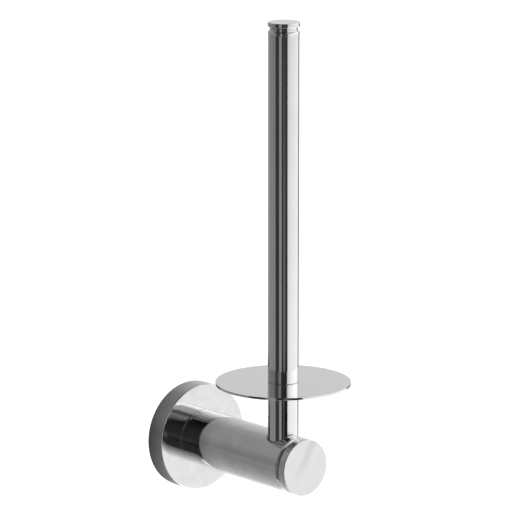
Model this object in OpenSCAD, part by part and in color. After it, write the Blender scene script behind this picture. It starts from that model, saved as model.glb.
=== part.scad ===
// Wall-mounted storage post for spare toilet rolls, in polished steel.
// Millimetres. +Z is up, the wall is the plane y = 0 and the arm points along -Y.
// The origin is the centre of the round rose where it meets the wall.

/* [Post] */
// Outer diameter of the post and of the stub below the tray
post_d = 18.2; // [14:0.1:22]
// Wall of the post's tube
post_wall = 1.2; // [0.8:0.1:2]
// Height of the post above the tray, cap included
post_h = 213.8; // [110:0.2:320]
// Distance from the wall to the post's axis
post_reach = 86.3; // [70:0.1:120]
// Chamfer round the foot of the post
post_foot_chamfer = 0.25; // [0.1:0.05:0.6]
// Chamfer at the top of the post's tube, under the cap
post_top_chamfer = 0.1; // [0.05:0.05:0.4]

/* [Post cap] */
// How far the cap's two beads stand proud of the post
cap_bead = 0.25; // [0.2:0.05:0.8]
// Height of the top disc
cap_disc_h = 2.5; // [2:0.1:6]
// Height of the groove under the disc
cap_groove_h = 2.9; // [1.5:0.1:4]
// Depth of the groove below the post's surface
cap_groove_depth = 0.9; // [0.4:0.05:1.5]
// Height of the collar that sits on the tube
cap_collar_h = 1.6; // [1.2:0.1:6]
// Rounding of the edges of disc and collar
cap_edge = 0.3; // [0.1:0.05:0.5]
// Length of the spigot inside the tube
cap_spigot = 9; // [5:0.5:20]

/* [Tray] */
// Diameter of the tray that the lowest roll stands on
tray_d = 80; // [60:1:110]
// Thickness of the tray
tray_t = 1.4; // [0.8:0.1:2]
// Height of the tray's upper face above the arm's axis
tray_rise = 49; // [36:0.5:80]
// Rounding at both edges of the tray's rim
tray_edge = 0.12; // [0.06:0.02:0.36]

/* [Stub under the tray] */
// How deep the stub goes into the arm, from the arm's top line
stub_sink = 5; // [3.5:0.1:8]
// Chamfer at both ends of the stub
stub_chamfer = 0.35; // [0.1:0.05:0.6]
// Open ring round the stub where it enters the arm
stub_hole_gap = 0.35; // [0.05:0.05:0.4]

/* [Arm] */
// Outer diameter of the arm and of its end cap
arm_d = 33.8; // [29:0.1:40]
// Wall of the arm's tube
arm_wall = 2.5; // [2.3:0.1:3.2]
// Rounding of the tube's front end
arm_end_round = 2.1; // [0.6:0.1:2.2]
// Rounding of the tube's rear end, on the rose
arm_rear_round = 0.4; // [0.1:0.05:0.8]
// Distance from the post's axis to the front of the end cap
nose_len = 19.9; // [17:0.1:30]

/* [End cap] */
// Height of the end cap's rim
end_rim = 4.8; // [2:0.1:6]
// Width of the groove between the tube's end and the rim
end_groove = 1.3; // [0.6:0.1:2]
// Rounding of the front face's edge
end_edge = 0.4; // [0.2:0.05:1]
// Length of the spigot inside the tube
end_spigot = 3.2; // [2.5:0.1:5]

/* [Rose] */
// Diameter of the round cover against the wall
rose_d = 65; // [60:0.5:76]
// Depth of the cover
rose_depth = 12.4; // [11.5:0.1:18]
// Thickness of the cover's round wall
rose_wall = 2; // [1.5:0.1:2.5]
// Thickness of the cover's front
rose_face = 2; // [1.5:0.1:3]
// Rounding of the front's edge
rose_edge = 0.6; // [0.2:0.05:1]
// Width of each of the three pads that sit on the wall bracket
pad_w = 12; // [9:0.5:16]
// How far the pads stay in from the wall plane
pad_setback = 0.6; // [0.3:0.1:1]

/* [Wall bracket] */
// Diameter of the disc that is screwed to the wall
bracket_d = 52; // [46:0.5:54]
// Depth of the disc's rim
bracket_depth = 7; // [6:0.1:8]
// Thickness of the rim
bracket_rim = 3; // [2:0.1:4]
// Thickness of the disc's web
bracket_web = 2.5; // [2:0.1:3]
// Bevel on the rim, so that the cover slides on
bracket_lead = 0.5; // [0.2:0.1:1]
// Width of the two slots for the wall screws
slot_w = 5.5; // [4:0.1:6.5]
// Length of each slot, end to end
slot_len = 9; // [8:0.5:11]
// Distance between the centres of the slots
slot_spacing = 30; // [26:0.5:33]

/* [Set screw] */
// Thread diameter of the screw that clamps the cover
set_screw_d = 5; // [4:0.5:6]
// Distance from the wall to the screw's axis
set_screw_y = 4; // [3.8:0.1:5]
// How deep the screw lies inside the cover's surface
set_screw_recess = 0.9; // [0.5:0.1:1.2]
// Width across flats of its socket
set_screw_socket = 2.5; // [1.5:0.5:3]
// Cone at the screw's tip
set_screw_tip = 0.8; // [0.4:0.1:1]

/* [Arm fixing screw] */
// Thread diameter
fixing_d = 6; // [5:0.5:8]
// Length under the head
fixing_len = 16; // [12:0.5:22]
// Diameter of the head
fixing_head_d = 10.5; // [9.5:0.5:14]
// Height of the head
fixing_head_h = 3.3; // [2.5:0.1:4]
// Width across flats of its socket
fixing_socket = 4; // [3:0.5:5]
// Depth of its socket
fixing_socket_depth = 2.1; // [1.5:0.1:2.4]
// Outer diameter of the spring washer
washer_d = 11; // [10:0.5:14]
// Thickness of the spring washer
washer_t = 1.6; // [1:0.1:2]
// Width of the slit in the spring washer
washer_slit = 1.2; // [0.6:0.1:2]

/* [Rear plug and locating pin] */
// Length of the plug in the rear of the arm
plug_len = 20; // [18:0.5:26]
// Diameter of the pin that stops the arm from turning
pin_d = 3; // [2:0.5:4]
// Length of the pin
pin_len = 8; // [6:0.5:12]
// How far the pin's axis lies inside the arm's surface
pin_inset = 7; // [6:0.1:8]

/* [Post stud] */
// Thread diameter of the stud through stub and tray
stud_d = 8; // [6:0.5:10]
// Length of the stud inside the arm's block
stud_in_block = 15; // [10:0.5:18]
// Length of the stud inside the foot plug
stud_in_foot = 12; // [8:0.5:16]
// Length of the foot plug
foot_plug_len = 18; // [14:0.5:30]
// Metal left behind the stub's seat, towards the wall
block_margin = 1.5; // [1:0.1:4]

/* [Fits] */
// Radial clearance of a pressed, glued or threaded piece
tight_fit = 0.05; // [0.02:0.01:0.1]
// Radial clearance of a screw through a plain hole
loose_fit = 0.25; // [0.15:0.05:0.4]
// Radial clearance of the set screw in its thread
thread_fit = 0.06; // [0.02:0.01:0.1]
// Clearance between the cover's pads and the bracket's rim
pad_fit = 0.15; // [0.1:0.05:0.3]
// Clearance left past the end of a blind piece
end_room = 0.5; // [0.2:0.1:1]
// Gap between the set screw's tip and the rim
tip_gap = 0.1; // [0.05:0.05:0.2]

/* [Hidden] */
$fn = 96;

// Smallest overshoot of a cut, so that no skin is left
cut = 1;
// How far a bead's rounding turns before it meets the groove's flank, in degrees
cap_flank = 50;

post_r = post_d / 2;
post_bore_r = post_r - post_wall;
arm_r = arm_d / 2;
arm_bore_r = arm_r - arm_wall;
rose_r = rose_d / 2;
rose_bore_r = rose_r - rose_wall;
bracket_r = bracket_d / 2;

// Distances from the wall, along the arm
rose_inside = rose_depth - rose_face;
arm_end = post_reach + nose_len;
rim_start = arm_end - end_rim;
tube_end = rim_start - end_groove;
block_start = post_reach - post_r - stub_hole_gap - block_margin;
block_end = tube_end - end_spigot - end_room;
washer_start = rose_inside - washer_t;
pin_start = rose_inside;
neck_r = arm_r - arm_end_round;

// Heights above the arm's axis
pin_rise = arm_r - pin_inset;
stub_seat = arm_r - stub_sink;
tray_under = tray_rise - tray_t;
post_top = tray_rise + post_h;
disc_under = post_top - cap_disc_h;
groove_under = disc_under - cap_groove_h;
tube_top = groove_under - cap_collar_h;

// The set screw reaches from just under the bracket's rim to just inside the cover's surface
set_screw_in = bracket_r + tip_gap;
set_screw_out = rose_r - set_screw_recess;
set_screw_socket_depth = (set_screw_out - set_screw_in) / 2;

bright = [0.80, 0.80, 0.81];
plated = [0.66, 0.67, 0.68];
dark = [0.36, 0.37, 0.38];

// Turns a shape about the arm's axis: its own z is the distance from the wall
module on_arm_axis() {
    rotate([90, 0, 0])
        children();
}

// Puts a shape on the post's axis, its z as it is
module on_post_axis() {
    translate([0, -post_reach, 0])
        children();
}

// Hexagonal recess, given by its width across flats
module hex_socket(across, depth) {
    cylinder(h = depth, r = across / 2 / cos(30), $fn = 6);
}

// What a quarter round takes off the outer corner of a turned profile.
// The corner is at the profile's far end or, with side = -1, at its near end.
module round_corner(corner, radius, side = 1) {
    centre = corner - radius * [1, side];
    difference() {
        translate([centre.x, min(centre.y, centre.y + side * (radius + cut))])
            square(radius + cut);
        translate(centre)
            circle(r = radius);
    }
}

// Points of an arc, for the beads of a turned profile
function arc(centre, radius, from, to, steps = 5) =
    [for (i = [0:steps])
        let (a = from + (to - from) * i / steps)
        centre + radius * [cos(a), sin(a)]];

// Disc with two slots in line, screwed to the wall, with a raised rim that carries the cover
module wall_bracket() {
    color(plated)
    on_arm_axis()
    difference() {
        rotate_extrude()
            polygon([
                [0, 0],
                [bracket_r, 0],
                [bracket_r, bracket_depth - bracket_lead],
                [bracket_r - bracket_lead, bracket_depth],
                [bracket_r - bracket_rim, bracket_depth],
                [bracket_r - bracket_rim, bracket_web],
                [0, bracket_web]
            ]);
        for (side = [-1, 1])
            translate([0, side * slot_spacing / 2, -cut])
                wall_slot(bracket_web + 2 * cut);
    }
}

// One slot, its long way along the line of the two slots
module wall_slot(depth) {
    slot_r = slot_w / 2;
    slot_run = slot_len - slot_w;
    translate([-slot_r, -slot_run / 2, 0])
        cube([slot_w, slot_run, depth]);
    for (end = [-1, 1])
        translate([0, end * slot_run / 2, 0])
            cylinder(h = depth, r = slot_r);
}

// Cup-shaped cover with three inner pads, one of them bored for the set screw
module rose() {
    pad_r = bracket_r + pad_fit;
    color(bright)
    difference() {
        on_arm_axis() {
            rotate_extrude()
                difference() {
                    polygon([
                        [rose_bore_r, 0],
                        [rose_r, 0],
                        [rose_r, rose_depth],
                        [0, rose_depth],
                        [0, rose_inside],
                        [rose_bore_r, rose_inside]
                    ]);
                    round_corner([rose_r, rose_depth], rose_edge);
                    round_corner([rose_r, 0], rose_edge / 2, -1);
                }
            for (turn = [0, 120, 240])
                rotate([0, 0, turn])
                    rose_pad(pad_r);
        }
        // Thread of the set screw, from below
        translate([0, -set_screw_y, -rose_r - cut])
            cylinder(h = rose_r - pad_r + 2 * cut, r = set_screw_d / 2 + thread_fit);
        // Holes of the arm's screw and of its locating pin
        on_arm_axis() {
            translate([0, 0, rose_inside - cut])
                cylinder(h = rose_face + 2 * cut, r = fixing_d / 2 + loose_fit);
            translate([0, pin_rise, rose_inside - cut])
                cylinder(h = rose_face + 2 * cut, r = pin_d / 2 + tight_fit);
        }
    }
}

// Pad on the inside of the cover's round wall, at its lowest point
module rose_pad(inner_r) {
    translate([0, 0, pad_setback])
        linear_extrude(rose_inside - pad_setback + rose_face / 2)
            difference() {
                intersection() {
                    circle(r = rose_bore_r + rose_wall / 2);
                    translate([-pad_w / 2, -rose_r])
                        square([pad_w, rose_r]);
                }
                circle(r = inner_r);
            }
}

// Headless screw with a hexagon socket, which clamps the cover on the bracket from below
module set_screw() {
    screw_r = set_screw_d / 2;
    color(dark)
    translate([0, -set_screw_y, 0])
    rotate([180, 0, 0])
    difference() {
        rotate_extrude()
            polygon([
                [0, set_screw_in],
                [screw_r - set_screw_tip, set_screw_in],
                [screw_r, set_screw_in + set_screw_tip],
                [screw_r, set_screw_out - set_screw_tip / 2],
                [screw_r - set_screw_tip / 2, set_screw_out],
                [0, set_screw_out]
            ]);
        translate([0, 0, set_screw_out - set_screw_socket_depth])
            hex_socket(set_screw_socket, set_screw_socket_depth + cut);
    }
}

// Thick-walled tube, rounded at both ends and cross-drilled for the stub
module arm_tube() {
    color(bright)
    difference() {
        on_arm_axis()
            rotate_extrude()
                difference() {
                    translate([arm_bore_r, rose_depth])
                        square([arm_wall, tube_end - rose_depth]);
                    round_corner([arm_r, tube_end], arm_end_round);
                    round_corner([arm_r, rose_depth], arm_rear_round, -1);
                }
        on_post_axis()
            cylinder(h = arm_r + cut, r = post_r + stub_hole_gap);
    }
}

// Solid plug in the rear of the arm, tapped for the fixing screw
module arm_rear_plug() {
    screw_room = fixing_len - (rose_depth - washer_start) + end_room;
    pin_room = pin_len - rose_face + end_room;
    color(plated)
    on_arm_axis()
    difference() {
        translate([0, 0, rose_depth])
            cylinder(h = plug_len, r = arm_bore_r - tight_fit);
        translate([0, 0, rose_depth - cut])
            cylinder(h = screw_room + cut, r = fixing_d / 2 + tight_fit);
        translate([0, pin_rise, rose_depth - cut])
            cylinder(h = pin_room + cut, r = pin_d / 2 + tight_fit);
    }
}

// Dowel through the cover's front into the rear plug
module arm_locating_pin() {
    color(plated)
    on_arm_axis()
    translate([0, pin_rise, pin_start])
        cylinder(h = pin_len, r = pin_d / 2);
}

// Split spring washer under the fixing screw's head
module arm_lock_washer() {
    color(dark)
    on_arm_axis()
    translate([0, 0, washer_start])
    difference() {
        cylinder(h = washer_t, r = washer_d / 2);
        translate([0, 0, -cut])
            cylinder(h = washer_t + 2 * cut, r = fixing_d / 2 + loose_fit);
        translate([-washer_slit / 2, 0, -cut])
            cube([washer_slit, washer_d, washer_t + 2 * cut]);
    }
}

// Button-head screw from inside the cover into the rear plug
module arm_fixing_screw() {
    head_r = fixing_head_d / 2;
    crown_r = fixing_head_d / 3;
    head_start = washer_start - fixing_head_h;
    color(dark)
    on_arm_axis()
    difference() {
        rotate_extrude()
            polygon([
                [0, head_start],
                [crown_r, head_start],
                [(head_r + crown_r) / 2, head_start + fixing_head_h / 4],
                [head_r, washer_start - fixing_head_h / 4],
                [head_r, washer_start],
                [fixing_d / 2, washer_start],
                [fixing_d / 2, washer_start + fixing_len],
                [0, washer_start + fixing_len]
            ]);
        translate([0, 0, head_start - cut])
            hex_socket(fixing_socket, fixing_socket_depth + cut);
    }
}

// Solid block in the front of the arm, with the stub's flat seat and the stud's thread
module arm_front_block() {
    color(plated)
    difference() {
        on_arm_axis()
            translate([0, 0, block_start])
                cylinder(h = block_end - block_start, r = arm_bore_r - tight_fit);
        on_post_axis() {
            translate([0, 0, stub_seat])
                cylinder(h = arm_r, r = post_r + stub_hole_gap);
            translate([0, 0, stub_seat - stud_in_block - end_room])
                cylinder(h = arm_d, r = stud_d / 2 + tight_fit);
        }
    }
}

// Turned cap that closes the arm, with a neck that leaves a groove behind its rim
module arm_end_cap() {
    color(bright)
    on_arm_axis()
        rotate_extrude()
            difference() {
                polygon([
                    [0, tube_end - end_spigot],
                    [arm_bore_r - tight_fit, tube_end - end_spigot],
                    [arm_bore_r - tight_fit, tube_end],
                    [neck_r, tube_end],
                    [neck_r, rim_start],
                    [arm_r, rim_start],
                    [arm_r, arm_end],
                    [0, arm_end]
                ]);
                round_corner([arm_r, arm_end], end_edge);
                round_corner([arm_r, rim_start], end_edge / 2, -1);
            }
}

// Short bar from the seat in the arm up to the tray
module post_stub() {
    bore_r = stud_d / 2 + loose_fit;
    color(bright)
    on_post_axis()
        rotate_extrude()
            polygon([
                [bore_r, stub_seat],
                [post_r - stub_chamfer, stub_seat],
                [post_r, stub_seat + stub_chamfer],
                [post_r, tray_under - stub_chamfer],
                [post_r - stub_chamfer, tray_under],
                [bore_r, tray_under]
            ]);
}

// Threaded stud that draws post, tray and stub down onto the block
module post_stud() {
    color(dark)
    on_post_axis()
    translate([0, 0, stub_seat - stud_in_block])
        cylinder(h = tray_rise + stud_in_foot - stub_seat + stud_in_block, r = stud_d / 2);
}

// Thin round tray, its rim's edges just broken
module roll_tray() {
    bore_r = stud_d / 2 + loose_fit;
    tray_r = tray_d / 2;
    color(bright)
    on_post_axis()
        rotate_extrude()
            difference() {
                translate([bore_r, tray_under])
                    square([tray_r - bore_r, tray_t]);
                round_corner([tray_r, tray_rise], tray_edge);
                round_corner([tray_r, tray_under], tray_edge, -1);
            }
}

// Tapped plug in the foot of the post
module post_foot_plug() {
    color(plated)
    on_post_axis()
    translate([0, 0, tray_rise])
    difference() {
        cylinder(h = foot_plug_len, r = post_bore_r - tight_fit);
        translate([0, 0, -cut])
            cylinder(h = stud_in_foot + end_room + cut, r = stud_d / 2 + tight_fit);
    }
}

// Thin-walled tube that the rolls are stacked on
module post_tube() {
    color(bright)
    on_post_axis()
        rotate_extrude()
            polygon([
                [post_bore_r, tray_rise],
                [post_r - post_foot_chamfer, tray_rise],
                [post_r, tray_rise + post_foot_chamfer],
                [post_r, tube_top - post_top_chamfer],
                [post_r - post_top_chamfer, tube_top],
                [post_bore_r, tube_top]
            ]);
}

// Turned cap: a collar that swells to a bead, a groove with sloping flanks and a disc
module post_cap() {
    bead_r = post_r + cap_bead;
    groove_r = post_r - cap_groove_depth;
    slope = cap_groove_h / 3;
    crest = bead_r - cap_edge;
    color(bright)
    on_post_axis()
        rotate_extrude()
            polygon(concat(
                [
                    [0, tube_top - cap_spigot],
                    [post_bore_r - tight_fit, tube_top - cap_spigot],
                    [post_bore_r - tight_fit, tube_top],
                    [post_r, tube_top]
                ],
                arc([crest, groove_under - cap_edge], cap_edge, 0, cap_flank),
                [
                    [groove_r, groove_under + slope],
                    [groove_r, disc_under - slope]
                ],
                arc([crest, disc_under + cap_edge], cap_edge, -cap_flank, 0),
                arc([crest, post_top - cap_edge], cap_edge, 0, 90),
                [[0, post_top]]
            ));
}

wall_bracket();
rose();
set_screw();
arm_tube();
arm_rear_plug();
arm_locating_pin();
arm_lock_washer();
arm_fixing_screw();
arm_front_block();
arm_end_cap();
post_stub();
post_stud();
roll_tray();
post_foot_plug();
post_tube();
post_cap();
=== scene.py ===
import math

import bmesh
import bpy
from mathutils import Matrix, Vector


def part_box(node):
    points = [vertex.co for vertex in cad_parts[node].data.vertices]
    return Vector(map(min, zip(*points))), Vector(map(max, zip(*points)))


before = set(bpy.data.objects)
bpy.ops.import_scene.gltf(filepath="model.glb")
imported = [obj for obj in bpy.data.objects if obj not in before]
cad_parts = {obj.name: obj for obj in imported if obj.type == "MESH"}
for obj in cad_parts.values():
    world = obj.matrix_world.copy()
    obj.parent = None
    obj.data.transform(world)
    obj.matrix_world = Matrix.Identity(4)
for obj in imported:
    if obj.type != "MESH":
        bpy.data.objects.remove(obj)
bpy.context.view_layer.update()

# Camera, at the photograph's angle: a long lens, left of the arm and a little above
CAMERA_AZIMUTH = -41.08
CAMERA_ELEVATION = 12.36
CAMERA_DISTANCE = 2.1145
CAMERA_TARGET = Vector((0.00099, -0.06078, 0.12017))
CAMERA_LENS = 251.66
CAMERA_SENSOR = 36.0
CAMERA_REACH = 100.0

# Studio: a ring of upright cards round the object, which only the metal sees. A card's points
# are the given number of degrees apart at most
RING_RADIUS = 1.7
RING_CENTRE = Vector((0.0, -0.06, 0.0))
CARD_STEP = 4.0

# Heights of the ring and of the edges on its cards, from the bottom up
BOTTOM = -1.7
DEEP = -1.35
SUNK = -1.10
LOW = -0.60
TABLE = -0.45
STUB = -0.366
PEAK = -0.28
STREAK = 0.03
HORIZON = 0.12
SOFTBOX = 0.42
EDGE = 0.7
SHELF = 1.6
TOP = 2.6

# Each card: name, azimuths of its two sides in degrees, then from the bottom up the heights at
# which its brightness is given and the brightness there at the two sides. A height given twice
# is a sharp edge
CARDS = [
    ("front_left", (-12.7, -3), [
        (BOTTOM, 0.64, 0.80), (LOW, 1.00, 1.12), (TABLE, 1.00, 1.12), (TABLE, 1.20, 1.26),
        (HORIZON, 0.80, 0.90), (HORIZON, 1.50, 1.70), (SOFTBOX, 1.45, 1.65),
        (EDGE, 0.02, 0.05), (SHELF, 0.01, 0.02), (TOP, 0.01, 0.02),
    ]),
    ("front_line", (-3, 5), [
        (BOTTOM, 0.80, 0.95), (LOW, 1.12, 1.18), (TABLE, 1.12, 1.18), (TABLE, 1.26, 1.30),
        (HORIZON, 0.90, 0.96), (HORIZON, 1.70, 1.85), (SOFTBOX, 1.65, 1.80),
        (EDGE, 1.10, 1.50), (SHELF, 0.50, 0.50), (TOP, 0.45, 0.45),
    ]),
    ("front_edge", (5, 13), [
        (BOTTOM, 0.95, 1.15), (TABLE, 1.18, 1.25), (TABLE, 1.30, 1.34), (HORIZON, 0.96, 1.00),
        (HORIZON, 1.85, 2.00), (SOFTBOX, 1.80, 1.95), (EDGE, 1.10, 1.30), (SHELF, 0.10, 0.10),
        (TOP, 0.08, 0.08),
    ]),
    ("front", (13, 30), [
        (BOTTOM, 1.15, 1.75), (TABLE, 1.25, 1.35), (TABLE, 1.34, 1.40), (HORIZON, 1.00, 1.08),
        (HORIZON, 2.00, 2.20), (SOFTBOX, 1.95, 2.15), (SHELF, 0.40, 0.60), (TOP, 0.20, 0.25),
    ]),
    ("front_right", (30, 50), [
        (BOTTOM, 1.75, 1.60), (TABLE, 1.35, 1.38), (TABLE, 1.40, 1.43), (HORIZON, 1.08, 1.15),
        (HORIZON, 2.20, 2.60), (SOFTBOX, 2.15, 2.40), (SHELF, 0.60, 0.70), (TOP, 0.25, 0.30),
    ]),
    ("right", (50, 94), [
        (BOTTOM, 1.60, 1.30), (TABLE, 1.38, 1.45), (TABLE, 1.43, 1.50), (HORIZON, 1.15, 1.30),
        (HORIZON, 2.60, 2.40), (SOFTBOX, 2.40, 2.20), (SHELF, 1.20, 1.20), (TOP, 0.80, 0.80),
    ]),
    ("gap_right", (94, 124), [
        (BOTTOM, 1.00, 1.00), (TABLE, 0.90, 0.90), (TABLE, 0.15, 0.15), (HORIZON, 0.15, 0.15),
        (HORIZON, 0.90, 0.90), (TOP, 0.90, 0.90),
    ]),
    ("back", (124, 146), [
        (BOTTOM, 1.25, 1.10), (STUB, 1.00, 0.92), (HORIZON, 0.88, 0.84), (SOFTBOX, 0.90, 0.83),
        (EDGE, 0.80, 0.74), (TOP, 0.78, 0.70),
    ]),
    ("back_left", (146, 168), [
        (BOTTOM, 1.10, 0.70), (LOW, 1.05, 0.62), (TABLE, 0.85, 0.50), (TABLE, 0.06, 0.06),
        (STUB, 0.06, 0.06), (STUB, 0.50, 0.45), (HORIZON, 0.50, 0.40), (HORIZON, 0.82, 0.47),
        (EDGE, 0.74, 0.46), (TOP, 0.66, 0.46),
    ]),
    ("left_edge", (168, 186), [
        (BOTTOM, 0.70, 0.60), (LOW, 0.65, 0.50), (TABLE, 0.50, 0.42), (TABLE, 0.06, 0.10),
        (STUB, 0.06, 0.10), (STUB, 0.45, 0.38), (HORIZON, 0.40, 0.36), (HORIZON, 0.47, 0.40),
        (TOP, 0.46, 0.40),
    ]),
    ("left", (186, 222), [
        (BOTTOM, 0.60, 0.42), (LOW, 0.45, 0.33), (PEAK, 0.37, 0.32), (STREAK, 0.34, 0.28),
        (SOFTBOX, 0.37, 0.33), (EDGE, 0.38, 0.37), (TOP, 0.40, 0.38),
    ]),
    ("far_left", (222, 256.3), [
        (BOTTOM, 0.42, 0.38), (LOW, 0.33, 0.31), (PEAK, 0.34, 0.32), (STREAK, 0.28, 0.25),
        (SOFTBOX, 0.33, 0.30), (EDGE, 0.37, 0.32), (TOP, 0.38, 0.30),
    ]),
    ("black_left", (256.3, 285.1), [
        (BOTTOM, 0.05, 0.05), (HORIZON, 0.05, 0.05), (SOFTBOX, 0.12, 0.12), (EDGE, 0.04, 0.04),
        (TOP, 0.04, 0.04),
    ]),
    ("grey_room", (285.1, 302.9), [
        (BOTTOM, 0.33, 0.41), (SHELF, 0.33, 0.41), (TOP, 0.20, 0.20),
    ]),
    ("black_front", (302.9, 316), [
        (BOTTOM, 0.05, 0.05), (LOW, 0.05, 0.05), (LOW, 0.02, 0.02), (STUB, 0.02, 0.02),
        (STUB, 0.06, 0.06), (SHELF, 0.03, 0.03), (TOP, 0.03, 0.03),
    ]),
    ("streak_left", (316, 323.5), [
        (BOTTOM, 0.05, 0.05), (LOW, 0.05, 0.05), (LOW, 0.12, 0.12), (STUB, 0.12, 0.12),
        (STUB, 0.24, 0.24), (STREAK, 0.05, 0.05), (SHELF, 0.03, 0.03), (TOP, 0.03, 0.03),
    ]),
    ("streak_right", (323.5, 330.5), [
        (BOTTOM, 0.05, 0.05), (LOW, 0.05, 0.05), (LOW, 0.004, 0.004), (STUB, 0.004, 0.004),
        (STUB, 0.24, 0.24), (STREAK, 0.05, 0.05), (SHELF, 0.01, 0.01), (TOP, 0.01, 0.01),
    ]),
    ("black_right", (330.5, 347.3), [
        (BOTTOM, 0.12, 0.64), (DEEP, 0.30, 0.75), (SUNK, 0.30, 0.45), (LOW, 0.05, 0.05),
        (LOW, 0.004, 0.004), (STUB, 0.004, 0.004), (STUB, 0.05, 0.05), (EDGE, 0.04, 0.02),
        (SHELF, 0.008, 0.008), (TOP, 0.008, 0.008),
    ]),
]

# Low down, the dark and grey cards lean to the right: the azimuths between which they do, the
# heights where the lean begins and is whole, and the turn there in degrees
LEAN_AZIMUTHS = (250, 350)
LEAN_HIGH = 0.0
LEAN_LOW = -0.42
LEAN_TURN = 4.5

# Round cards that close the ring above and below: height, azimuth of the bright side in
# degrees, distances along it between which the brightness changes, and the brightness at each
CLOSERS = {
    "ceiling": (TOP, 70.0, (0.0, 0.8), (0.04, 0.60)),
    "ground": (BOTTOM, 80.0, (-0.5, 0.6), (0.65, 2.30)),
}
CLOSER_SIDES = 48

# Shade on the wall, close round the rose: where it begins and ends outside the rose's rim, its
# gap from the wall, how much up and down count beside left and right in how deep it is, and the
# share of light let through at the rim's darkest and lightest sides
SHADE_INNER = 0.0005
SHADE_OUTER = 0.022
SHADE_GAP = 0.0005
SHADE_SLANT = 0.5
SHADE_SHARES = (0.25, 0.85)
SHADE_RINGS = 6
SHADE_SIDES = 96

# Floor: its glow lifts the lit paper to white for the camera
FLOOR_HEIGHT = -0.6
FLOOR_SIZE = 40.0
FLOOR_COLOUR = (0.85, 0.85, 0.85, 1)
FLOOR_GLOW = 0.65

# World: what the camera and the metal see of it, and the light that it gives
WORLD_SEEN = 1.0
WORLD_LIGHT = 0.55

# Lamp overhead: its place from the ring's centre
LAMP_PLACE = Vector((0.3, -0.3, 1.9))
LAMP_SIZE = 1.6
LAMP_ENERGY = 12.0

# Noise textures: values between which nearly all of one lies, and how fine each one goes
NOISE_SPAN = (0.3, 0.7)
LINE_DETAIL = 3.0
SMUDGE_DETAIL = 4.0
SMUDGE_HARSHNESS = 0.6
WAVE_DETAIL = 1.0
CLOUD_DETAIL = 3.0
BAND_DETAIL = 2.0

# Finishes of the metal:
# colour: what a mirror of it reflects
# polish: least and most roughness of the smudges
# stain: size of the smudges
# lines: pitch, height and added roughness of the lines from turning and polishing
# waves: size and height of the slow waves
# cloud: size and depth of the cloudy patches
# wear: roughness added at the worn corners
# under: roughness added where a face looks down
# dark_band: lean in degrees, place off the axis, width and depth of a slanting band painted darker into
# the colour
# fall: width and height of a face's slight fall towards its rim
FINISHES = {
    "rose": dict(
        colour=(0.56, 0.56, 0.562), polish=(0.05, 0.09), stain=0.006, lines=(0.0005, 2e-7, 0.03),
        waves=(0.012, 6e-6), cloud=(0.009, 0.05), wear=0.15, fall=(0.005, 1.5e-4),
    ),
    # The end cap's face has a slanting band painted darker into its colour
    "face": dict(
        colour=(0.56, 0.56, 0.562), polish=(0.10, 0.16), stain=0.010, lines=(0.0005, 2e-7, 0.03),
        waves=(0.010, 8e-6), cloud=(0.006, 0.02), wear=0.15, dark_band=(33, -0.0024, 0.0030, 0.12),
    ),
    "arm": dict(
        colour=(0.62, 0.62, 0.622), polish=(0.04, 0.08), stain=0.006, lines=(0.0005, 1e-7, 0.02),
        waves=(0.008, 4e-6), cloud=(0.007, 0.05), wear=0.1,
    ),
    "tray": dict(
        colour=(0.62, 0.62, 0.622), polish=(0.07, 0.12), stain=0.012, lines=(0.0004, 1e-7, 0.03),
        waves=(0.015, 2e-6), cloud=(0.012, 0.015), wear=0.0, under=0.22,
    ),
    "post": dict(
        colour=(0.62, 0.62, 0.622), polish=(0.07, 0.11), stain=0.02, lines=(0.0004, 1e-7, 0.02),
        waves=(0.02, 3e-6), cloud=(0.02, 0.03), wear=0.1,
    ),
    "turned": dict(
        colour=(0.5, 0.5, 0.5), polish=(0.22, 0.3), stain=0.01, lines=(0.0005, 3e-6, 0.08),
        waves=(0.01, 4e-6), cloud=(0.006, 0.04), wear=0.05,
    ),
    "screw": dict(
        colour=(0.36, 0.36, 0.37), polish=(0.25, 0.35), stain=0.004, lines=(0.0004, 3e-6, 0.06),
        waves=(0.005, 3e-6), cloud=(0.003, 0.05), wear=0.05,
    ),
    "bracket": dict(
        colour=(0.42, 0.43, 0.44), polish=(0.32, 0.45), stain=0.006, lines=(0.0009, 2e-6, 0.04),
        waves=(0.0015, 8e-6), cloud=(0.008, 0.07), wear=0.0,
    ),
}

# Each piece: its finish and the axis that it is turned about
PIECES = {
    "rose": ("rose", "Y"),
    "arm_tube": ("arm", "Y"),
    "arm_end_cap": ("face", "Y"),
    "post_stub": ("post", "Z"),
    "roll_tray": ("tray", "Z"),
    "post_tube": ("post", "Z"),
    "post_cap": ("post", "Z"),
    "arm_rear_plug": ("turned", "Y"),
    "arm_locating_pin": ("turned", "Y"),
    "arm_front_block": ("turned", "Y"),
    "post_foot_plug": ("turned", "Z"),
    "arm_lock_washer": ("screw", "Y"),
    "arm_fixing_screw": ("screw", "Y"),
    "post_stud": ("screw", "Z"),
    "set_screw": ("screw", "Z"),
    "wall_bracket": ("bracket", "Y"),
}

# How far the lines turn into each other in one radian about the axis
LINE_DRIFT = 2.0

# Worn corners: their width, and the share of it that is worn through
WEAR_WIDTH = 0.0009
WEAR_CORE = 0.3

# A face whose normal rises less than this looks down
DOWNWARD = -0.5

# Slanting band painted darker into the colour, in widths of the band: half of its full part, where
# its sides end, how ragged they are and how long each ragged stretch is, and the heights between
# which it fades. Then the share of it that is left lower down
BAND_CORE = 0.3
BAND_SIDE = 1.4
BAND_RAGGED = 0.3
BAND_PATCH = 3.0
BAND_FADE = (-3.0, 2.0)
BAND_REST = 0.1


def direction(azimuth, elevation=0.0):
    """Unit vector towards a viewer at that azimuth and elevation, in degrees."""
    turn = math.radians(azimuth)
    rise = math.radians(elevation)
    level = math.cos(rise)
    return Vector((math.sin(turn) * level, -math.cos(turn) * level, math.sin(rise)))


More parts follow.
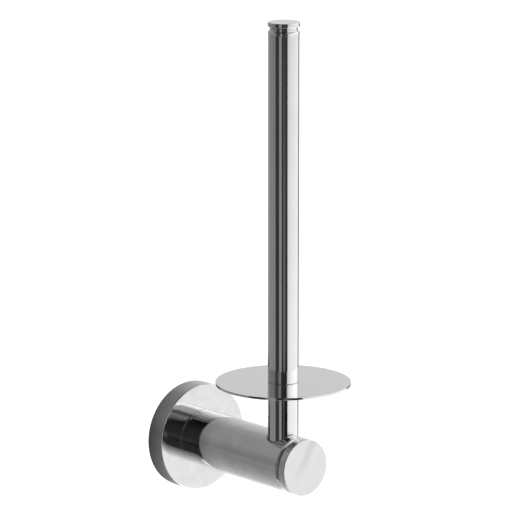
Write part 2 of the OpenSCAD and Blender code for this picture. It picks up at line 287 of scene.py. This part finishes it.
def make_camera():
    data = bpy.data.cameras.new("camera")
    data.lens = CAMERA_LENS
    data.sensor_width = CAMERA_SENSOR
    data.clip_end = CAMERA_REACH
    camera = bpy.data.objects.new("camera", data)
    back = direction(CAMERA_AZIMUTH, CAMERA_ELEVATION)
    camera.location = CAMERA_TARGET + back * CAMERA_DISTANCE
    camera.rotation_euler = (-back).to_track_quat("-Z", "Y").to_euler()
    bpy.context.scene.collection.objects.link(camera)
    bpy.context.scene.camera = camera


class Tree:
    """A node tree with short calls for the nodes that the materials use."""

    def __init__(self, owner):
        owner.use_nodes = True
        self.tree = owner.node_tree
        self.tree.nodes.clear()

    def node(self, kind, inputs=(), **settings):
        made = self.tree.nodes.new(kind)
        for name, value in settings.items():
            setattr(made, name, value)
        for socket, value in dict(inputs).items():
            self.feed(made.inputs[socket], value)
        return made

    def feed(self, socket, value):
        if isinstance(value, bpy.types.NodeSocket):
            self.tree.links.new(value, socket)
        else:
            socket.default_value = value

    def math(self, operation, a, b=0.0, c=0.0):
        made = self.node("ShaderNodeMath", {0: a, 1: b, 2: c}, operation=operation)
        return made.outputs[0]

    def noise(self, vector, scale, detail, harshness=0.5):
        made = self.node("ShaderNodeTexNoise", {
            "Vector": vector,
            "Scale": scale,
            "Detail": detail,
            "Roughness": harshness,
        })
        return made.outputs["Fac"]

    def remap(self, value, low, high, to_low, to_high, smooth=False):
        made = self.node("ShaderNodeMapRange", {
            "Value": value,
            "From Min": low,
            "From Max": high,
            "To Min": to_low,
            "To Max": to_high,
        }, interpolation_type="SMOOTHSTEP" if smooth else "LINEAR")
        return made.outputs["Result"]

    def place(self):
        return self.node("ShaderNodeTexCoord").outputs["Object"]

    def split(self, vector):
        return self.node("ShaderNodeSeparateXYZ", {0: vector}).outputs

    def distance(self, a, b):
        """Length of the line whose two legs are given."""
        return self.math("SQRT", self.math("MULTIPLY_ADD", a, a, self.math("MULTIPLY", b, b)))

    def bump(self, height):
        made = self.node("ShaderNodeBump", {"Height": height, "Strength": 1.0, "Distance": 1.0})
        return made.outputs["Normal"]

    def glow(self, strength):
        return self.node("ShaderNodeEmission", {"Strength": strength}).outputs[0]

    def surface(self, shader):
        self.node("ShaderNodeOutputMaterial", {"Surface": shader})


class Lathe:
    """Place on a turned piece: distance from its axis, place along the axis and angle about it."""

    def __init__(self, tree, name, axis):
        low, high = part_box(name)
        centre = (low + high) / 2
        xyz = tree.split(tree.place())
        side = tree.math("SUBTRACT", xyz["X"], centre.x)
        self.tree = tree
        if axis == "Y":
            rise = tree.math("SUBTRACT", xyz["Z"], centre.z)
            self.along = xyz["Y"]
            self.ends = (low.y, high.y)
        else:
            rise = tree.math("SUBTRACT", xyz["Y"], centre.y)
            self.along = xyz["Z"]
            self.ends = (low.z, high.z)
        self.reach = (high.x - low.x) / 2
        self.radius = tree.distance(side, rise)
        self.angle = tree.math("ARCTAN2", rise, side)

    def lines(self, pitch):
        """Noise drawn out round the axis, as left by turning and polishing."""
        tree = self.tree
        vector = tree.node("ShaderNodeCombineXYZ", {
            "X": tree.math("DIVIDE", self.radius, pitch),
            "Y": tree.math("DIVIDE", self.along, pitch),
            "Z": tree.math("MULTIPLY", self.angle, LINE_DRIFT),
        }).outputs[0]
        return tree.noise(vector, 1.0, LINE_DETAIL)

    def edge_wear(self):
        """1 at the outer corner of either end of the piece, 0 from the wear's width on."""
        tree = self.tree
        inward = tree.math("SUBTRACT", self.radius, self.reach)
        worn = []
        for end in self.ends:
            away = tree.distance(inward, tree.math("SUBTRACT", self.along, end))
            worn.append(tree.remap(away, WEAR_CORE * WEAR_WIDTH, WEAR_WIDTH, 1.0, 0.0, smooth=True))
        return tree.math("MAXIMUM", worn[0], worn[1])

    def fall(self, width, depth):
        """Height of a face that falls away towards its rim, steeper and steeper."""
        tree = self.tree
        share = tree.remap(self.radius, self.reach - width, self.reach, 0.0, 1.0)
        return tree.math("MULTIPLY", tree.math("POWER", share, 2.0), -depth)


def band_darkening(tree, place, slant, offset, width, depth):
    """Colour scale of a face: 1, and less along a soft slanting band painted darker across its middle.
    """
    xyz = tree.split(place)
    turn = math.radians(slant)
    rise = tree.math("MULTIPLY", xyz["Z"], -math.sin(turn))
    across = tree.math("MULTIPLY_ADD", xyz["X"], math.cos(turn), rise)
    swing = BAND_RAGGED * width
    ragged = tree.noise(place, 1 / (BAND_PATCH * width), BAND_DETAIL)
    ragged = tree.remap(ragged, *NOISE_SPAN, -swing, swing)
    away = tree.math("SUBTRACT", tree.math("ADD", across, ragged), offset)
    away = tree.math("ABSOLUTE", away)
    band = tree.remap(away, BAND_CORE * width, BAND_SIDE * width, depth, 0.0, smooth=True)
    fade_low, fade_high = [width * share for share in BAND_FADE]
    fading = tree.remap(xyz["Z"], fade_low, fade_high, BAND_REST, 1.0, smooth=True)
    return tree.math("SUBTRACT", 1.0, tree.math("MULTIPLY", band, fading))


def metal(name, axis, colour, polish, stain, lines, waves, cloud, wear, under=0.0, dark_band=(), fall=()):
    """A turned metal: its lines follow the axis, and its reflections waver a little."""
    material = bpy.data.materials.new(f"{name}_metal")
    tree = Tree(material)
    place = tree.place()
    lathe = Lathe(tree, name, axis)
    line_pitch, line_height, line_roughness = lines
    wave_size, wave_height = waves
    cloud_size, cloud_depth = cloud
    grain = lathe.lines(line_pitch)
    smudge = tree.noise(place, 1 / stain, SMUDGE_DETAIL, SMUDGE_HARSHNESS)
    wave = tree.noise(place, 1 / wave_size, WAVE_DETAIL)
    patches = tree.noise(place, 1 / cloud_size, CLOUD_DETAIL)

    roughness = tree.math("ADD", tree.remap(smudge, *NOISE_SPAN, *polish),
                          tree.remap(grain, *NOISE_SPAN, 0.0, line_roughness))
    roughness = tree.math("MULTIPLY_ADD", lathe.edge_wear(), wear, roughness)
    if under:
        normal = tree.split(tree.node("ShaderNodeNewGeometry").outputs["Normal"])
        downward = tree.math("LESS_THAN", normal["Z"], DOWNWARD)
        roughness = tree.math("MULTIPLY_ADD", downward, under, roughness)

    height = tree.math("MULTIPLY_ADD", wave, wave_height, tree.math("MULTIPLY", grain, line_height))
    if fall:
        height = tree.math("ADD", height, lathe.fall(*fall))

    shade = tree.remap(patches, *NOISE_SPAN, 1.0 - cloud_depth, 1.0 + cloud_depth)
    # A slanting band painted darker into the colour, fading lower down
    if dark_band:
        shade = tree.math("MULTIPLY", shade, band_darkening(tree, place, *dark_band))
    base = tree.node("ShaderNodeVectorMath", {0: colour, "Scale": shade}, operation="SCALE")

    shader = tree.node("ShaderNodeBsdfPrincipled", {
        "Base Color": base.outputs[0],
        "Metallic": 1.0,
        "Roughness": roughness,
        "Normal": tree.bump(height),
    })
    tree.surface(shader.outputs[0])
    return material


def dress():
    """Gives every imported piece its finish."""
    for name, (finish, axis) in PIECES.items():
        material = metal(name, axis, **FINISHES[finish])
        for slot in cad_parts[name].material_slots:
            slot.material = material


def add_stage(name, made, material):
    """Makes a piece of the studio from a bmesh, and puts it in the scene."""
    mesh = bpy.data.meshes.new(name)
    made.to_mesh(mesh)
    made.free()
    mesh.materials.append(material)
    stage = bpy.data.objects.new(name, mesh)
    bpy.context.scene.collection.objects.link(stage)
    return stage


def hide_from_camera(stage):
    stage.visible_camera = False
    stage.visible_shadow = False


def lean(azimuth, height):
    """Azimuth of a card's side at that height."""
    if not LEAN_AZIMUTHS[0] < azimuth % 360 < LEAN_AZIMUTHS[1]:
        return azimuth
    share = (LEAN_HIGH - height) / (LEAN_HIGH - LEAN_LOW)
    return azimuth + LEAN_TURN * min(1, max(0, share))


def with_knots(stops):
    """A card's stops, with one more at each height where the lean begins or is whole."""
    full = [stops[0]]
    for lower, upper in zip(stops, stops[1:]):
        for knot in (LEAN_LOW, LEAN_HIGH):
            if lower[0] < knot < upper[0]:
                share = (knot - lower[0]) / (upper[0] - lower[0])
                full.append([a + (b - a) * share for a, b in zip(lower, upper)])
        full.append(upper)
    return full


def make_card(name, azimuths, stops, material):
    """Upright card bent about the ring's centre, which stores its brightness with its points."""
    count = max(2, math.ceil((azimuths[1] - azimuths[0]) / CARD_STEP))
    made = bmesh.new()
    level = made.verts.layers.float.new("level")
    rows = []
    for height, at_first, at_last in with_knots(stops):
        first, last = [lean(azimuth, height) for azimuth in azimuths]
        row = []
        for i in range(count + 1):
            share = i / count
            place = RING_RADIUS * direction(first + (last - first) * share)
            point = made.verts.new(place + Vector((0, 0, height)))
            point[level] = at_first + (at_last - at_first) * share
            row.append(point)
        rows.append(row)
    for lower, upper in zip(rows, rows[1:]):
        if upper[0].co.z > lower[0].co.z:
            for i in range(count):
                made.faces.new((lower[i], lower[i + 1], upper[i + 1], upper[i]))
    card = add_stage(name, made, material)
    card.location = RING_CENTRE
    hide_from_camera(card)


def make_cards():
    """The studio's ring, all of it with one material that glows as its points say."""
    material = bpy.data.materials.new("card")
    tree = Tree(material)
    level = tree.node("ShaderNodeAttribute", attribute_name="level").outputs["Fac"]
    tree.surface(tree.glow(level))
    for name, azimuths, stops in CARDS:
        make_card(f"card_{name}", azimuths, stops, material)


def make_closers():
    """Round cards over and under the ring, each dark on one side and bright on the other."""
    for name, (height, azimuth, places, levels) in CLOSERS.items():
        made = bmesh.new()
        bmesh.ops.create_circle(made, cap_ends=True, segments=CLOSER_SIDES, radius=RING_RADIUS)
        material = bpy.data.materials.new(name)
        tree = Tree(material)
        along = tree.split(tree.place())["X"]
        tree.surface(tree.glow(tree.remap(along, *places, *levels, smooth=True)))
        closer = add_stage(name, made, material)
        closer.location = RING_CENTRE + Vector((0, 0, height))
        closer.rotation_euler = (0, 0, math.radians(azimuth - 90))
        hide_from_camera(closer)
        closer.visible_diffuse = False


def make_wall_shade():
    """Clear ring on the wall that dims what the metal sees close to the rose, most at its lower left."""
    low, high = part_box("rose")
    rose_radius = (high.x - low.x) / 2
    made = bmesh.new()
    rows = []
    for ring in range(SHADE_RINGS + 1):
        radius = rose_radius + SHADE_INNER + (SHADE_OUTER - SHADE_INNER) * ring / SHADE_RINGS
        row = []
        for i in range(SHADE_SIDES):
            turn = 2 * math.pi * i / SHADE_SIDES
            place = (radius * math.cos(turn), high.y + SHADE_GAP, radius * math.sin(turn))
            row.append(made.verts.new(place))
        rows.append(row)
    for inner, outer in zip(rows, rows[1:]):
        for i in range(SHADE_SIDES):
            j = (i + 1) % SHADE_SIDES
            made.faces.new((inner[i], inner[j], outer[j], outer[i]))
    material = bpy.data.materials.new("wall_shade")
    tree = Tree(material)
    xyz = tree.split(tree.place())
    radius = tree.distance(xyz["X"], xyz["Z"])
    slant = tree.math("DIVIDE", tree.math("MULTIPLY_ADD", xyz["Z"], SHADE_SLANT, xyz["X"]), radius)
    at_rim = tree.remap(slant, -1.0, 1.0, *SHADE_SHARES)
    level = tree.remap(radius, rose_radius, rose_radius + SHADE_OUTER, at_rim, 1.0)
    tree.surface(tree.node("ShaderNodeBsdfTransparent", {"Color": level}).outputs[0])
    shade = add_stage("wall_shade", made, material)
    hide_from_camera(shade)
    shade.visible_diffuse = False


def make_floor():
    """Pale floor, white to the camera where nothing shades it, and clear from below."""
    made = bmesh.new()
    bmesh.ops.create_grid(made, x_segments=1, y_segments=1, size=FLOOR_SIZE / 2)
    material = bpy.data.materials.new("floor")
    tree = Tree(material)
    path = tree.node("ShaderNodeLightPath").outputs
    paper = tree.node("ShaderNodeBsdfDiffuse", {"Color": FLOOR_COLOUR}).outputs[0]
    lift = tree.glow(tree.math("MULTIPLY", path["Is Camera Ray"], FLOOR_GLOW))
    lit = tree.node("ShaderNodeAddShader", {0: paper, 1: lift}).outputs[0]
    clear = tree.node("ShaderNodeBsdfTransparent").outputs[0]
    under = tree.node("ShaderNodeNewGeometry").outputs["Backfacing"]
    tree.surface(tree.node("ShaderNodeMixShader", {0: under, 1: lit, 2: clear}).outputs[0])
    floor = add_stage("floor", made, material)
    floor.location = (0, 0, FLOOR_HEIGHT)
    floor.visible_glossy = False


def make_world():
    """White to the camera and in the metal, and a plain grey level of light elsewhere."""
    world = bpy.data.worlds.new("world")
    tree = Tree(world)
    path = tree.node("ShaderNodeLightPath").outputs
    bounced = tree.math("MAXIMUM", path["Is Glossy Ray"], path["Is Transmission Ray"])
    seen = tree.math("MAXIMUM", path["Is Camera Ray"], bounced)
    level = tree.remap(seen, 0.0, 1.0, WORLD_LIGHT, WORLD_SEEN)
    light = tree.node("ShaderNodeBackground", {"Color": (1, 1, 1, 1), "Strength": level})
    tree.node("ShaderNodeOutputWorld", {"Surface": light.outputs[0]})
    bpy.context.scene.world = world


def make_lamp():
    """Large soft lamp overhead."""
    data = bpy.data.lights.new("lamp_overhead", "AREA")
    data.shape = "SQUARE"
    data.size = LAMP_SIZE
    data.energy = LAMP_ENERGY
    lamp = bpy.data.objects.new("lamp_overhead", data)
    lamp.location = RING_CENTRE + LAMP_PLACE
    lamp.rotation_euler = (-LAMP_PLACE).to_track_quat("-Z", "Y").to_euler()
    bpy.context.scene.collection.objects.link(lamp)
    lamp.visible_glossy = False


make_camera()
dress()
make_world()
make_floor()
make_lamp()
make_wall_shade()
make_closers()
make_cards()

bpy.context.scene.view_settings.view_transform = "Standard"
